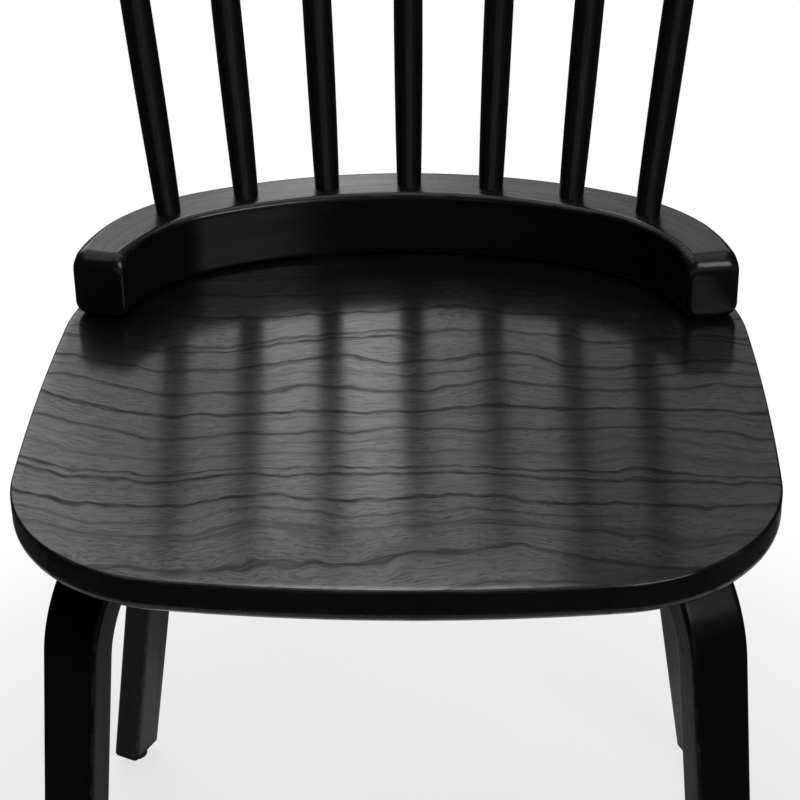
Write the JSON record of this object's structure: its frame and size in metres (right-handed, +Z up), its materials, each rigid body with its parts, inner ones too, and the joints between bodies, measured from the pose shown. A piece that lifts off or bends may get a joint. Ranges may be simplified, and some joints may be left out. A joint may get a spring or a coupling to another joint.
{
  "type": "spindle back dining chair",
  "caption": "Armless dining chair with a rounded wooden seat, a curved rail on the seat that holds fanned turned spindles under a curved crest rail, and bent splayed legs.",
  "frame": {"origin": "on the floor, under the middle of the chair's bounding box", "axes": "+X to the right as seen from the front, +Y from the front to the back, +Z up"},
  "size_m": [0.4608, 0.5017, 0.7952],
  "materials": {
    "seat_veneer": "satin",
    "black_wood": "satin",
    "glide_plastic": "matte",
    "screw_steel": "satin",
    "dowel_wood": "matte"
  },
  "bodies": {
    "root": {"seat": "seat_veneer", "back_rail": "black_wood", "crest_rail": "black_wood", "spindle_1": "black_wood", "spindle_2": "black_wood", "spindle_3": "black_wood", "spindle_4": "black_wood", "spindle_5": "black_wood", "spindle_6": "black_wood", "spindle_7": "black_wood", "leg_front_left": "black_wood", "leg_screws_front_left": "screw_steel", "foot_glide_front_left": "glide_plastic", "glide_nail_front_left": "screw_steel", "leg_front_right": "black_wood", "leg_screws_front_right": "screw_steel", "foot_glide_front_right": "glide_plastic", "glide_nail_front_right": "screw_steel", "leg_rear_left": "black_wood", "leg_screws_rear_left": "screw_steel", "foot_glide_rear_left": "glide_plastic", "glide_nail_rear_left": "screw_steel", "leg_rear_right": "black_wood", "leg_screws_rear_right": "screw_steel", "foot_glide_rear_right": "glide_plastic", "glide_nail_rear_right": "screw_steel", "rail_screws": "screw_steel", "rail_dowels": "dowel_wood"}
  },
  "joints": []
}
